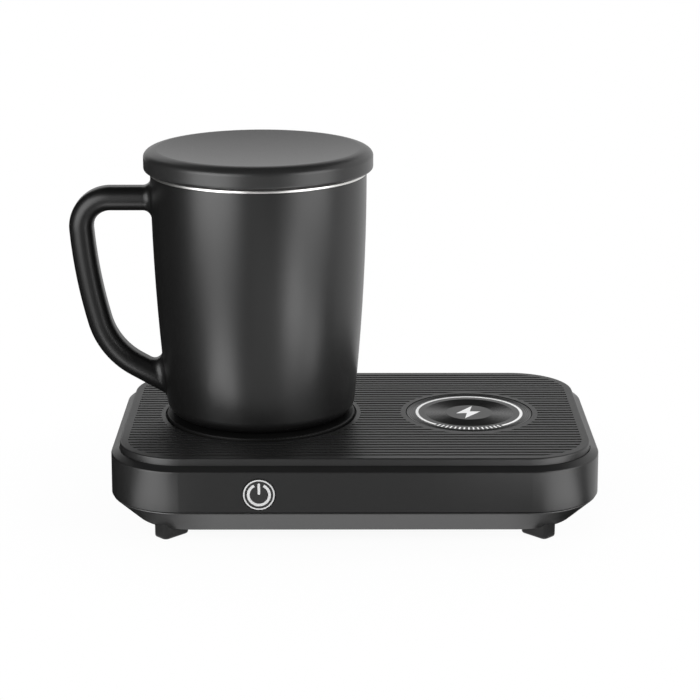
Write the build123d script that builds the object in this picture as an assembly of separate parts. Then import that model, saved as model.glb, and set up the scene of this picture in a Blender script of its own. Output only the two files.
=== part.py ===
from build123d import *

import os
from math import cos, radians, sin

# Electric mug warmer: a flat base with a heater plate on the left and a charging disc on
# the right, and a lidded steel mug that stands on the heater. Millimetres. +X runs to the
# right along the front, +Y to the back, +Z up. The origin lies on the table, at the middle
# of the whole object's outline, mug handle included.

# Base, in plan
base_length = 200.4
base_depth = 128.4
base_corner = 29.7
wall = 2.0
wall_draft = 0.2
chin_run = 9.3
chin_corner = 25.3
shoulder_run = 3.3

# Base, in height
foot_clearance = 4.8
chin_height = 10.3
floor_thickness = 2.2
seam_gap = 0.5
seam_edge_round = 0.35
wall_height = 16.8
shoulder_rise = 1.6
recess_depth = 0.8
deck_thickness = 2.0
lip_height = 3.0
wall_edge_round = 0.7

# Tongue of the lower shell, inside the upper one
tongue_gap = 0.15
tongue_thickness = 1.0
tongue_height = 1.8

# Top plate and its ribs
plate_gap = 0.3
plate_edge_round = 0.7
plate_skin = 2.4
plate_rim = 5.0
groove_pitch = 3.28
groove_width = 1.3
groove_depth = 0.6
field_margin = 3.4

# Heater
heater_offset = 39.85
heater_y = 1.2
heater_radius = 39.9
heater_proud = 1.2
heater_skin = 2.0
heater_skirt = 2.4
heater_edge_round = 0.6
heater_border = 1.7
heater_seal_thickness = 1.0
heater_seal_collar = 0.7
heater_seal_sink = 0.9
heater_fit = 0.15
heater_deck_overlap = 5.4
element_thickness = 0.8
element_gap = 1.4
clamp_thickness = 1.0
clamp_overlap = 3.5
heater_boss_radius = 3.0
heater_boss_circle = 27.0
heater_boss_count = 3
heater_screw_radius = 1.3
heater_screw_depth = 4.0
heater_screw_head_radius = 2.6
heater_screw_head = 1.4

# Sensor and cut-out of the heater
thermistor_radius = 2.0
thermistor_flange_radius = 3.4
thermistor_flange = 1.0
fuse_radius = 1.7
fuse_length = 9.0
fuse_wire_radius = 0.4
fuse_wire = 4.0
fuse_offset = -14.0

# Charging disc and coil
disc_offset = 48.9
disc_y = 1.0
disc_radius = 26.7
disc_border = 2.5
disc_thickness = 2.1
disc_sink = 0.15
disc_fit = 0.3
disc_ledge = 3.2
disc_hub_radius = 9.4
disc_groove_pitch = 1.2
disc_groove_width = 0.5
disc_groove_depth = 0.25
disc_groove_count = 9
coil_outer = 21.5
coil_inner = 10.5
coil_thickness = 1.2
coil_turn_pitch = 1.1
coil_groove_width = 0.28
coil_groove_depth = 0.3
ferrite_radius = 22.6
ferrite_thickness = 1.2
coil_air = 0.2
holder_radius = 22.9
holder_wall = 1.4
holder_base = 1.6
holder_post_circle = 30.0
holder_post_radius = 3.2
holder_post_height = 3.6
holder_post_count = 3
holder_post_turn = 30.0
coil_screw_radius = 1.0
coil_screw_depth = 4.0
coil_screw_head_radius = 2.0
coil_screw_head = 1.2

# Housing screws and their bosses
boss_foot_gap = 15.0
boss_side_gap = 16.2
side_boss_x = 84.0
lower_boss_radius = 4.6
upper_boss_radius = 3.6
boss_joint = 14.0
housing_screw_radius = 1.45
housing_screw_head_radius = 2.75
housing_screw_head = 2.0
housing_screw_grip = 8.0
head_recess = 4.2

# Shared by all the screws
screw_clearance = 0.25
screw_head_round = 0.4

# Feet
foot_end_inset = 25.2
foot_side_inset = 16.6
foot_length = 13.4
foot_width = 7.9
foot_height = 12.7
foot_corner = 2.3
foot_edge_round = 1.0
foot_plug_radius = 2.4
foot_head_radius = 3.1
foot_head = 1.1
foot_fit = 0.1

# Air slots in the floor
slot_length = 26.0
slot_width = 2.2
slot_pitch = 5.0
slot_count = 5
slot_field_x = 12.0
slot_field_y = -18.0

# Main board
board_depth = 39.0
board_thickness = 1.6
board_back_gap = 3.9
board_lead_inset = 4.4
board_boss_gap = 3.4
board_standoff = 9.2
standoff_radius = 3.1
board_hole_inset = 4.2
board_screw_radius = 1.1
board_screw_depth = 6.0
board_screw_head_radius = 2.1
board_screw_head = 1.3

# Parts on the board
chip_size = 7.0
chip_height = 1.2
chip_spacing = 14.0
inductor_size = 10.0
inductor_height = 4.2
inductor_round = 2.0
inductor_inset = 17.6
capacitor_radius = 3.15
capacitor_height = 7.7
capacitor_spacing = 8.5
capacitor_count = 3
capacitor_lead_gap = 8.1
capacitor_edge_round = 0.5

# Power inlet in the back wall
inlet_width = 9.0
inlet_height = 3.3
inlet_depth = 7.5
inlet_skin = 0.3
inlet_back_wall = 0.6
inlet_inset = 0.9
inlet_fit = 0.25
inlet_tongue_width = 6.6
inlet_tongue_height = 0.7
inlet_tongue_length = 6.6
inlet_tongue_inset = 0.6
inlet_recess_width = 13.4
inlet_recess_height = 7.0
inlet_recess_depth = 0.7

# Power button in the front wall
button_offset = 38.4
button_height = 23.2
button_radius = 6.5
button_gap = 0.25
button_proud = 0.3
button_edge_round = 0.3
button_travel = 0.8
collar_length = 2.2
collar_thickness = 1.2
collar_room = 0.3
button_flange_lap = 1.1
button_flange = 1.2
button_flange_gap = 0.2
button_stem_radius = 1.8
button_stem = 3.2
switch_size = 6.0
switch_depth = 3.5
plunger_radius = 1.6
plunger_length = 3.0
plunger_reach = 1.8
plunger_fit = 0.06
button_board_length = 24.0
button_board_height = 13.0
button_board_thickness = 1.2
button_post_width = 5.0
button_post_depth = 5.6
button_post_bite = 1.8
button_post_height = 18.0
button_board_fit = 0.1
light_length = 2.4
light_width = 1.6
light_height = 1.1
light_offset = 5.2

# Leads between the board, the heater and the coil
lead_radius = 0.8
lead_spacing = 2.6
lead_hole_radius = 2.9
heater_lead_level = 23.6
heater_lead_reach = 16.0
heater_lead_y = 7.0
heater_lead_start = 8.0
heater_lead_bend = 2.8
coil_lead_circle = 16.0
coil_lead_turn = 118.0
coil_lead_bend = 1.9
coil_lead_run = 12.0
coil_lead_level = 22.4

# Mug
mug_set_back = 3.0
mug_top_radius = 44.9
mug_foot_radius = 39.4
mug_height = 102.1
mug_edge_round = 5.5
mug_wall = 0.8
mug_air = 1.5
liner_wall = 0.6
liner_edge_round = 6.0
lip_thickness = 1.4
lip_edge_round = 0.7
lip_low_round = 0.3
mug_base_radius = 31.0
mug_base_step = 2.0
mug_base_thickness = 3.0
mug_base_fit = 0.1
rest_gap = 0.05

# Mug handle
handle_reach = 79.2
handle_thickness = 10.0
handle_width = 13.4
handle_top = 91.5
handle_top_bend = 12.3
handle_top_turn = 93.9
handle_back_bend = 211.0
handle_back_turn = 10.8
handle_low_bend = 31.7
handle_low_turn = 45.8
handle_root_round = 3.6
handle_bury = 6.0
handle_bond = 0.05

# Lid
lid_overhang = 2.7
lid_height = 9.1
lid_crest_inset = 5.4
lid_shoulder_drop = 3.2
lid_low_round = 1.2
lid_rim_gap = 0.4
lid_seat_inset = 4.0
lid_dish_depth = 2.0
lid_skin = 4.2
plug_gap = 1.6
plug_wall = 1.6
plug_floor = 1.6
plug_depth = 9.0
plug_fit = 0.1
seal_gap = 0.3
seal_height = 2.6
seal_drop = 4.0
seal_bite = 0.6
seal_edge_round = 0.65

# Levels worked out from the sizes above
base_bottom = foot_clearance
floor_top = base_bottom + floor_thickness
seam_low = base_bottom + chin_height
seam_high = seam_low + seam_gap
tongue_top = seam_high + tongue_height
wall_top = seam_high + wall_height
shoulder_top = wall_top + shoulder_rise
deck_top = shoulder_top - recess_depth
deck_bottom = deck_top - deck_thickness
plate_top = shoulder_top + lip_height
heater_top = plate_top + heater_proud
element_top = heater_top - heater_skin
element_bottom = element_top - element_thickness
clamp_bottom = deck_bottom - clamp_thickness
heater_seal_top = deck_top + heater_seal_thickness
disc_top = plate_top - disc_sink
disc_bottom = disc_top - disc_thickness
coil_top = disc_bottom - coil_air
coil_bottom = coil_top - coil_thickness
ferrite_bottom = coil_bottom - ferrite_thickness
post_bottom = deck_bottom - holder_post_height
holder_bottom = post_bottom - holder_base
board_bottom = floor_top + board_standoff
board_top = board_bottom + board_thickness
mug_bottom = heater_top + rest_gap
lip_bottom = mug_bottom + mug_height
lip_top = lip_bottom + lip_thickness
lid_bottom = lip_top + rest_gap
lid_top = lid_bottom + lid_height
seal_top = lid_bottom - seal_drop
seal_bottom = seal_top - seal_height

# Places worked out from the sizes above
base_x = (heater_offset + handle_reach - base_length / 2) / 2
foot_x = base_length / 2 - foot_end_inset
foot_y = base_depth / 2 - foot_side_inset
corner_boss_x = foot_x - boss_foot_gap
corner_boss_y = base_depth / 2 - boss_side_gap
heater_x = base_x - heater_offset
heater_lead_x = heater_x + heater_lead_reach
mug_x = heater_x
mug_y = heater_y + mug_set_back
disc_x = base_x + disc_offset
button_x = base_x - button_offset
front_face = -base_depth / 2
back_face = base_depth / 2
plate_inset = wall_draft + shoulder_run + plate_gap
rim_inset = wall + tongue_gap + tongue_thickness
heater_bore = heater_radius - heater_deck_overlap
clamp_radius = heater_bore + clamp_overlap
heater_opening = heater_radius + heater_fit + heater_seal_collar
element_radius = heater_radius - heater_skirt - element_gap
coil_bore = disc_radius - disc_ledge
board_left = heater_lead_x - board_lead_inset
board_right = base_x + corner_boss_x - lower_boss_radius - board_boss_gap
board_length = board_right - board_left
board_x = (board_left + board_right) / 2
board_y = back_face - board_back_gap - board_depth / 2
inlet_height_mid = board_top + inlet_height / 2
button_guide = button_radius + button_gap
collar_end = front_face + wall + collar_length
flange_front = collar_end + button_flange_gap
flange_back = flange_front + button_flange
stem_end = flange_back + button_stem
switch_front = stem_end + plunger_reach
button_board_front = switch_front + switch_depth
button_board_bottom = button_height - button_board_height / 2
liner_inset = mug_wall + mug_air
mouth_radius = mug_top_radius - liner_inset - liner_wall
lid_radius = mug_top_radius + lid_overhang
lid_crest_radius = lid_radius - lid_crest_inset
lid_seat_radius = lid_radius - lid_seat_inset
plug_radius = mouth_radius - plug_gap


def outline(inset, corner, height):
    """The base's rounded outline, drawn in by an inset, lying at a height."""
    length = base_length - 2 * inset
    depth = base_depth - 2 * inset
    return Pos(base_x, 0, height) * RectangleRounded(length, depth, corner)


def block(inset, low, high):
    """An upright slab with the base's outline drawn in evenly all round."""
    return extrude(outline(inset, base_corner - inset, low), high - low)


def slope(low_inset, low_corner, low, high_inset, high_corner, high):
    """A slab whose sides lean from one outline to another."""
    sections = [outline(low_inset, low_corner, low), outline(high_inset, high_corner, high)]
    return loft(sections, ruled=True)


def disc(x, y, radius, low, high):
    """An upright cylinder between two heights."""
    upright = (Align.CENTER, Align.CENTER, Align.MIN)
    return Pos(x, y, low) * Cylinder(radius, high - low, align=upright)


def ring(x, y, outer, inner, low, high):
    """An upright ring between two heights."""
    return disc(x, y, outer, low, high) - disc(x, y, inner, low, high)


def bar(x, z, radius, front, back):
    """A cylinder that lies along Y."""
    upright = (Align.CENTER, Align.CENTER, Align.MIN)
    return Pos(x, front, z) * Rot(-90, 0, 0) * Cylinder(radius, back - front, align=upright)


def box(x, y, length, depth, low, high):
    """An upright box about a centre line."""
    upright = (Align.CENTER, Align.CENTER, Align.MIN)
    return Pos(x, y, low) * Box(length, depth, high - low, align=upright)


def level_edges(solid, height):
    """The edges of a solid that lie flat at one height."""
    return solid.edges().filter_by_position(Axis.Z, height - 0.001, height + 0.001)


def around(x, y, circle, count, turn=0.0):
    """Places spaced evenly round a circle."""
    angles = [radians(turn + 360 * place / count) for place in range(count)]
    return [(x + circle * cos(angle), y + circle * sin(angle)) for angle in angles]


def boss_places():
    """The six housing screws: one near each corner and one at each end."""
    corners = [(sx * corner_boss_x, sy * corner_boss_y) for sx in (-1, 1) for sy in (-1, 1)]
    ends = [(sx * side_boss_x, 0) for sx in (-1, 1)]
    return [(base_x + x, y) for x, y in corners + ends]


def board_hole_places():
    """The four holes of the main board."""
    reach_x = board_length / 2 - board_hole_inset
    reach_y = board_depth / 2 - board_hole_inset
    return [(board_x + sx * reach_x, board_y + sy * reach_y) for sx in (-1, 1) for sy in (-1, 1)]


def heater_boss_places():
    """The bosses under the heater plate."""
    return around(heater_x, heater_y, heater_boss_circle, heater_boss_count, 90)


def holder_post_places():
    """The posts under the deck that carry the coil holder."""
    return around(disc_x, disc_y, holder_post_circle, holder_post_count, holder_post_turn)


def foot_places():
    """Each foot's centre, and its turn towards the base's corner."""
    quarters = [(sx, sy) for sx in (-1, 1) for sy in (-1, 1)]
    return [(base_x + sx * foot_x, sy * foot_y, 45 * sx * sy) for sx, sy in quarters]


def heater_lead_places():
    """Where the two heater leads pass the clamp."""
    return [(heater_lead_x + side * lead_spacing / 2, heater_lead_y) for side in (-1, 1)]


def coil_lead_places():
    """Where the two coil leads leave the coil."""
    angle = radians(coil_lead_turn)
    x = disc_x + coil_lead_circle * cos(angle)
    y = disc_y + coil_lead_circle * sin(angle)
    return [(x + side * lead_spacing / 2, y) for side in (-1, 1)]


def chin():
    """The lower shell's outer form: flat below, flaring out to the seam's eased edge."""
    form = slope(chin_run, chin_corner, base_bottom, 0, base_corner, seam_low)
    return fillet(level_edges(form, seam_low), seam_edge_round)


def lower_shell():
    """The tray: sloped wall, tongue, screw bosses, standoffs, board posts and air slots."""
    floor_inset = chin_run * (1 - floor_thickness / chin_height) + rim_inset
    hollow = slope(
        floor_inset, chin_corner - rim_inset, floor_top,
        rim_inset, base_corner - rim_inset, seam_low,
    )
    tongue = block(wall + tongue_gap, seam_low, tongue_top) - block(rim_inset, seam_low, tongue_top)
    inside = slope(
        chin_run + rim_inset / 2, chin_corner - rim_inset / 2, base_bottom,
        rim_inset / 2, base_corner - rim_inset / 2, seam_low,
    ) + block(rim_inset, seam_low, tongue_top)
    shell = chin() - hollow
    for x, y in board_hole_places():
        shell += disc(x, y, standoff_radius, base_bottom, board_bottom) & inside
    for side in (-1, 1):
        shell += button_post(side)
    for x, y in boss_places():
        shell += disc(x, y, lower_boss_radius, base_bottom, boss_joint)
    collar_notch = button_guide + collar_thickness + collar_room
    shell += tongue - bar(button_x, button_height, collar_notch, front_face, collar_end)
    for x, y in board_hole_places():
        shell -= disc(x, y, board_screw_radius, board_bottom - board_screw_depth, board_bottom)
    for x, y in boss_places():
        shell -= disc(x, y, housing_screw_radius + screw_clearance, base_bottom, boss_joint)
        recess = housing_screw_head_radius + screw_clearance
        shell -= disc(x, y, recess, base_bottom, base_bottom + head_recess)
    for x, y, _ in foot_places():
        shell -= disc(x, y, foot_plug_radius + foot_fit, base_bottom, floor_top)
    return shell - air_slots()


def air_slots():
    """A row of round-ended slots through the floor."""
    first = slot_field_x - slot_pitch * (slot_count - 1) / 2
    slots = Part()
    for place in range(slot_count):
        centre = Pos(base_x + first + slot_pitch * place, slot_field_y, base_bottom)
        slots += extrude(centre * SlotOverall(slot_length, slot_width, rotation=90), floor_thickness)
    return slots


def button_post(side):
    """A grooved post that holds one end of the button board."""
    edge = button_x + side * button_board_length / 2
    x = edge + side * (button_post_width / 2 - button_post_bite)
    middle = button_board_front + button_board_thickness / 2
    top = floor_top + button_post_height
    post = box(x, middle, button_post_width, button_post_depth, base_bottom, top)
    room = button_board_length + 2 * button_board_fit
    slot_depth = button_board_thickness + 2 * button_board_fit
    return post - box(button_x, middle, room, slot_depth, button_board_bottom, top)


def upper_shell():
    """The wall, the sloped shoulder and the deck, with everything that hangs under the deck."""
    shoulder_inset = wall_draft + shoulder_run
    shell = slope(0, base_corner, seam_high, wall_draft, base_corner - wall_draft, wall_top)
    shell += slope(
        wall_draft, base_corner - wall_draft, wall_top,
        shoulder_inset, base_corner - shoulder_inset, shoulder_top,
    )
    shell = fillet(level_edges(shell, wall_top), wall_edge_round)
    shell -= block(wall, seam_high, deck_bottom)
    shell -= block(shoulder_inset, deck_top, shoulder_top)
    shell -= disc(heater_x, heater_y, heater_bore, deck_bottom, deck_top)
    shell -= disc(disc_x, disc_y, coil_bore, deck_bottom, deck_top)
    for x, y in boss_places():
        shell += disc(x, y, upper_boss_radius, boss_joint, deck_bottom)
        shell -= disc(x, y, housing_screw_radius, boss_joint, boss_joint + housing_screw_grip)
    for x, y in holder_post_places():
        shell += disc(x, y, holder_post_radius, post_bottom, deck_bottom)
        shell -= disc(x, y, coil_screw_radius, post_bottom, post_bottom + coil_screw_depth)
    collar = button_guide + collar_thickness
    shell += bar(button_x, button_height, collar, front_face + wall / 2, collar_end)
    shell -= bar(button_x, button_height, button_guide, front_face, collar_end)
    return shell - inlet_opening()


def inlet_plane(y):
    """An upright plane across the inlet's axis, facing into the base."""
    return Plane(origin=(base_x, y, inlet_height_mid), x_dir=(1, 0, 0), z_dir=(0, -1, 0))


def inlet_opening():
    """The hole for the power inlet, and the shallow recess round it."""
    face = inlet_plane(back_face)
    hole = face * SlotOverall(inlet_width + 2 * inlet_fit, inlet_height + 2 * inlet_fit)
    recess = face * SlotOverall(inlet_recess_width, inlet_recess_height)
    return extrude(hole, wall) + extrude(recess, inlet_recess_depth)


def rib_grooves():
    """The grooves between the ribs, kept off the plate's edge and off both round borders."""
    low = plate_top - groove_depth
    inset = plate_inset + field_margin
    field = outline(inset, base_corner - inset, low)
    field -= Pos(heater_x, heater_y, low) * Circle(heater_opening + heater_border)
    field -= Pos(disc_x, disc_y, low) * Circle(disc_radius + disc_border)
    half_depth = base_depth / 2 - inset - groove_width / 2
    side_count = int(half_depth / groove_pitch)
    grooves = Part()
    for place in range(-side_count, side_count + 1):
        strip = Pos(base_x, place * groove_pitch, low) * Rectangle(base_length, groove_width)
        grooves += extrude(field & strip, groove_depth)
    return grooves


def top_plate():
    """The ribbed plate: a skin with a deeper rim, a heater opening and a seat for the disc."""
    plate = block(plate_inset, deck_top, plate_top)
    plate = fillet(level_edges(plate, plate_top), plate_edge_round)
    pocket = block(plate_inset + plate_rim, deck_top, plate_top - plate_skin)
    pocket -= disc(heater_x, heater_y, heater_opening + plate_rim, deck_top, plate_top)
    pocket -= disc(disc_x, disc_y, disc_radius + plate_rim, deck_top, plate_top)
    plate -= pocket
    plate -= disc(heater_x, heater_y, heater_opening, deck_top, plate_top)
    plate -= disc(disc_x, disc_y, coil_bore, deck_top, plate_top)
    plate -= disc(disc_x, disc_y, disc_radius + disc_fit, disc_bottom, plate_top)
    return plate - rib_grooves()


def charging_disc():
    """The round inlay with fine rings cut round a plain hub."""
    inlay = disc(disc_x, disc_y, disc_radius, disc_bottom, disc_top)
    inlay = fillet(level_edges(inlay, disc_top), disc_groove_depth)
    for place in range(disc_groove_count):
        middle = disc_hub_radius + disc_groove_pitch * place
        outer = middle + disc_groove_width / 2
        inner = middle - disc_groove_width / 2
        inlay -= ring(disc_x, disc_y, outer, inner, disc_top - disc_groove_depth, disc_top)
    return inlay


def heater_plate():
    """A shallow inverted pan with screw bosses under its skin."""
    plate = disc(heater_x, heater_y, heater_radius, heater_seal_top, heater_top)
    plate = fillet(level_edges(plate, heater_top), heater_edge_round)
    plate -= disc(heater_x, heater_y, heater_radius - heater_skirt, heater_seal_top, element_top)
    for x, y in heater_boss_places():
        plate += disc(x, y, heater_boss_radius, deck_bottom, element_top)
        plate -= disc(x, y, heater_screw_radius, deck_bottom, deck_bottom + heater_screw_depth)
    return plate


def heater_seal():
    """The soft ring under the heater's skirt, with a collar that fills the gap round it."""
    inner = heater_radius - heater_skirt
    outer = heater_opening - heater_fit / 2
    foot = ring(heater_x, heater_y, outer, inner, deck_top, heater_seal_top)
    collar_top = plate_top - heater_seal_sink
    collar = heater_radius + heater_fit / 2
    return foot + ring(heater_x, heater_y, outer, collar, heater_seal_top, collar_top)


def heater_pad(radius, low, high):
    """A round pad under the heater, holed for the bosses."""
    pad = disc(heater_x, heater_y, radius, low, high)
    for x, y in heater_boss_places():
        pad -= disc(x, y, heater_boss_radius + screw_clearance, low, high)
    return pad


def pierce_for_sensor(pad, low, high):
    """Holes for the thermistor and for the heater leads."""
    pad -= disc(heater_x, heater_y, thermistor_radius + screw_clearance, low, high)
    return pad - disc(heater_lead_x, heater_lead_y, lead_hole_radius, low, high)


def heating_element():
    """The heating disc, against the underside of the heater plate."""
    return heater_pad(element_radius, element_bottom, element_top)


def heater_insulation():
    """The fibre pad between the heating disc and the clamp."""
    pad = heater_pad(heater_bore - element_gap, deck_bottom, element_bottom)
    return pierce_for_sensor(pad, deck_bottom, element_bottom)


def heater_clamp():
    """The steel plate that pulls the heater down onto the deck."""
    clamp = disc(heater_x, heater_y, clamp_radius, clamp_bottom, deck_bottom)
    for x, y in heater_boss_places():
        clamp -= disc(x, y, heater_screw_radius + screw_clearance, clamp_bottom, deck_bottom)
    return pierce_for_sensor(clamp, clamp_bottom, deck_bottom)


def screws(places, radius, low, high, head_radius, head):
    """Pan-head screws that point up, with their heads below."""
    group = []
    for x, y in places:
        shape = disc(x, y, head_radius, low - head, low) + disc(x, y, radius, low, high)
        group.append(fillet(level_edges(shape, low - head), screw_head_round))
    return Compound(children=group)


def heater_screws():
    """The screws of the heater clamp."""
    high = deck_bottom + heater_screw_depth
    return screws(
        heater_boss_places(), heater_screw_radius, clamp_bottom, high,
        heater_screw_head_radius, heater_screw_head,
    )


def thermistor():
    """The sensor, with its flange on the clamp and its tip on the heating disc."""
    tip = disc(heater_x, heater_y, thermistor_radius, clamp_bottom, element_bottom)
    low = clamp_bottom - thermistor_flange
    return tip + disc(heater_x, heater_y, thermistor_flange_radius, low, clamp_bottom)


def thermal_fuse():
    """The safety cut-out, a small can with a wire at each end, under the clamp."""
    x = heater_x + fuse_offset
    z = clamp_bottom - fuse_radius
    ends = heater_y + fuse_offset
    half = fuse_length / 2
    can = bar(x, z, fuse_radius, ends - half, ends + half)
    return can + bar(x, z, fuse_wire_radius, ends - half - fuse_wire, ends + half + fuse_wire)


def charging_coil():
    """The flat coil, with its turns marked by grooves in its face."""
    coil = ring(disc_x, disc_y, coil_outer, coil_inner, coil_bottom, coil_top)
    turns = int((coil_outer - coil_inner) / coil_turn_pitch)
    for turn in range(1, turns):
        middle = coil_inner + coil_turn_pitch * turn
        outer = middle + coil_groove_width / 2
        inner = middle - coil_groove_width / 2
        coil -= ring(disc_x, disc_y, outer, inner, coil_bottom, coil_bottom + coil_groove_depth)
    return coil


def ferrite_plate():
    """The shield under the coil, with a hole for the coil's leads."""
    plate = disc(disc_x, disc_y, ferrite_radius, ferrite_bottom, coil_bottom)
    return plate - lead_passage(ferrite_bottom, coil_bottom)


def lead_passage(low, high):
    """The upright hole that the coil's leads drop through."""
    (left, y), (right, _) = coil_lead_places()
    return disc((left + right) / 2, y, lead_hole_radius, low, high)


def coil_holder():
    """The cup that lifts the ferrite and coil to the disc, with an ear for each post."""
    holder = disc(disc_x, disc_y, holder_radius, holder_bottom, ferrite_bottom)
    holder -= disc(disc_x, disc_y, holder_radius - holder_wall, post_bottom, ferrite_bottom)
    for x, y in holder_post_places():
        ear = disc(x, y, holder_post_radius, holder_bottom, post_bottom)
        middle = Pos((x + disc_x) / 2, (y + disc_y) / 2, holder_bottom)
        turn = Vector(x - disc_x, y - disc_y, 0).get_signed_angle(Vector(1, 0, 0), Vector(0, 0, -1))
        arm = Rectangle(holder_post_circle, 2 * holder_post_radius)
        ear += extrude(middle * Rot(0, 0, turn) * arm, holder_base)
        holder += ear
    for x, y in holder_post_places():
        holder -= disc(x, y, coil_screw_radius + screw_clearance, holder_bottom, post_bottom)
    return holder - lead_passage(holder_bottom, post_bottom)


def coil_screws():
    """The screws of the coil holder."""
    high = post_bottom + coil_screw_depth
    return screws(
        holder_post_places(), coil_screw_radius, holder_bottom, high,
        coil_screw_head_radius, coil_screw_head,
    )


def housing_screws():
    """The screws that close the two shells, heads sunk in the floor."""
    low = base_bottom + head_recess
    high = boss_joint + housing_screw_grip
    return screws(
        boss_places(), housing_screw_radius, low, high,
        housing_screw_head_radius, housing_screw_head,
    )


def main_board():
    """The circuit board on its four standoffs."""
    board = box(board_x, board_y, board_length, board_depth, board_bottom, board_top)
    for x, y in board_hole_places():
        board -= disc(x, y, board_screw_radius + screw_clearance, board_bottom, board_top)
    return board


def board_screws():
    """The screws of the main board, heads up."""
    low = board_bottom - board_screw_depth
    group = []
    for x, y in board_hole_places():
        head = disc(x, y, board_screw_head_radius, board_top, board_top + board_screw_head)
        group.append(head + disc(x, y, board_screw_radius, low, board_top))
    return Compound(children=group)


def control_chips():
    """The controller and the power stage, flat on the board."""
    first = board_x - chip_spacing / 2
    places = [first, first + chip_spacing]
    chips = [box(x, board_y, chip_size, chip_size, board_top, board_top + chip_height) for x in places]
    return Compound(children=chips)


def power_inductor():
    """The shielded choke of the power stage."""
    place = Pos(board_right - inductor_inset, board_y, board_top)
    shape = RectangleRounded(inductor_size, inductor_size, inductor_round)
    return extrude(place * shape, inductor_height)


def capacitors():
    """The upright capacitors, in a row beside the heater's leads."""
    x = heater_lead_x + capacitor_lead_gap
    top = board_top + capacitor_height
    first = board_y - capacitor_spacing * (capacitor_count - 1) / 2
    cans = []
    for place in range(capacitor_count):
        y = first + capacitor_spacing * place
        can = disc(x, y, capacitor_radius, board_top, top)
        cans.append(fillet(level_edges(can, top), capacitor_edge_round))
    return Compound(children=cans)


def power_inlet():
    """The socket on the board's back edge: a flat shell with a contact tongue inside."""
    mouth = inlet_plane(back_face - inlet_inset)
    shell = extrude(mouth * SlotOverall(inlet_width, inlet_height), inlet_depth)
    room = mouth * SlotOverall(inlet_width - 2 * inlet_skin, inlet_height - 2 * inlet_skin)
    shell -= extrude(room, inlet_depth - inlet_back_wall)
    start = inlet_plane(back_face - inlet_inset - inlet_tongue_inset)
    tongue = start * Rectangle(inlet_tongue_width, inlet_tongue_height)
    return shell + extrude(tongue, inlet_tongue_length)


def power_button():
    """The round cap, its flange behind the collar and the stem that meets the switch."""
    face = front_face - button_proud
    cap = bar(button_x, button_height, button_radius, face, flange_back)
    edge = cap.edges().filter_by_position(Axis.Y, face - 0.001, face + 0.001)
    cap = fillet(edge, button_edge_round)
    flange_radius = button_guide + button_flange_lap
    cap += bar(button_x, button_height, flange_radius, flange_front, flange_back)
    return cap + bar(button_x, button_height, button_stem_radius, flange_back, stem_end)


def switch_plunger():
    """The sprung tip of the switch, which the stem rests on."""
    return bar(button_x, button_height, plunger_radius, stem_end, stem_end + plunger_length)


def tact_switch():
    """The switch body, bored for its plunger."""
    low = button_height - switch_size / 2
    middle = switch_front + switch_depth / 2
    body = box(button_x, middle, switch_size, switch_depth, low, low + switch_size)
    bore_end = stem_end + plunger_length + button_travel + plunger_fit
    return body - bar(button_x, button_height, plunger_radius + plunger_fit, switch_front, bore_end)


def button_board():
    """The small upright board that carries the switch."""
    middle = button_board_front + button_board_thickness / 2
    low = button_board_bottom
    high = low + button_board_height
    return box(button_x, middle, button_board_length, button_board_thickness, low, high)


def status_light():
    """The lamp beside the switch that lights the button."""
    x = button_x + light_offset
    low = button_height - light_width / 2
    y = button_board_front - light_height / 2
    return box(x, y, light_length, light_height, low, low + light_width)


def feet():
    """Four soft feet, shaped to the chin, each with a plug through the floor."""
    group = []
    for x, y, turn in foot_places():
        shape = Pos(x, y, 0) * Rot(0, 0, turn) * RectangleRounded(foot_length, foot_width, foot_corner)
        foot = extrude(shape, foot_height)
        foot = fillet(level_edges(foot, 0), foot_edge_round)
        foot -= chin()
        foot += disc(x, y, foot_plug_radius, base_bottom, floor_top)
        foot += disc(x, y, foot_head_radius, floor_top, floor_top + foot_head)
        group.append(foot)
    return Compound(children=group)


def lead(points, bends):
    """A round insulated lead along straight runs joined by arcs."""
    path = FilletPolyline(*points, radius=bends)
    start = Plane(origin=path @ 0, z_dir=path % 0)
    return sweep(start * Circle(lead_radius), path=path)


def heater_leads():
    """Two leads from the board, up through the clamp to the heating disc."""
    leads = []
    start_y = board_y - heater_lead_start
    for x, y in heater_lead_places():
        points = [
            (x, start_y, board_top), (x, start_y, heater_lead_level),
            (x, y, heater_lead_level), (x, y, element_bottom),
        ]
        leads.append(lead(points, heater_lead_bend))
    return Compound(children=leads)


def coil_leads():
    """Two leads from the coil, down through the holder and back to the board."""
    leads = []
    for x, y in coil_lead_places():
        end_y = y + coil_lead_run
        points = [
            (x, y, coil_bottom), (x, y, coil_lead_level),
            (x, end_y, coil_lead_level), (x, end_y, board_top),
        ]
        leads.append(lead(points, coil_lead_bend))
    return Compound(children=leads)


def mug_form(inset, low, edge_round):
    """The mug's round form, drawn in by an inset: a side that grows upright towards the top."""
    top = mug_top_radius - inset
    foot = mug_foot_radius - inset
    side = Bezier((foot, 0), (top, mug_height / 2), (top, mug_height))
    rest = Polyline((top, mug_height), (0, mug_height), (0, 0), (foot, 0))
    face = make_face(side + rest)
    form = revolve(Rot(90, 0, 0) * face, Axis.Z)
    if low > 0:
        form -= disc(0, 0, mug_top_radius, 0, low)
    form = fillet(level_edges(form, low), edge_round)
    return Pos(mug_x, mug_y, mug_bottom) * form


def mug_shell():
    """The outer wall of the mug, with a round opening in its floor."""
    shell = mug_form(0, 0, mug_edge_round)
    shell -= mug_form(mug_wall, mug_wall, mug_edge_round - mug_wall)
    return shell - disc(mug_x, mug_y, mug_base_radius, mug_bottom, mug_bottom + mug_wall)


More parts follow.
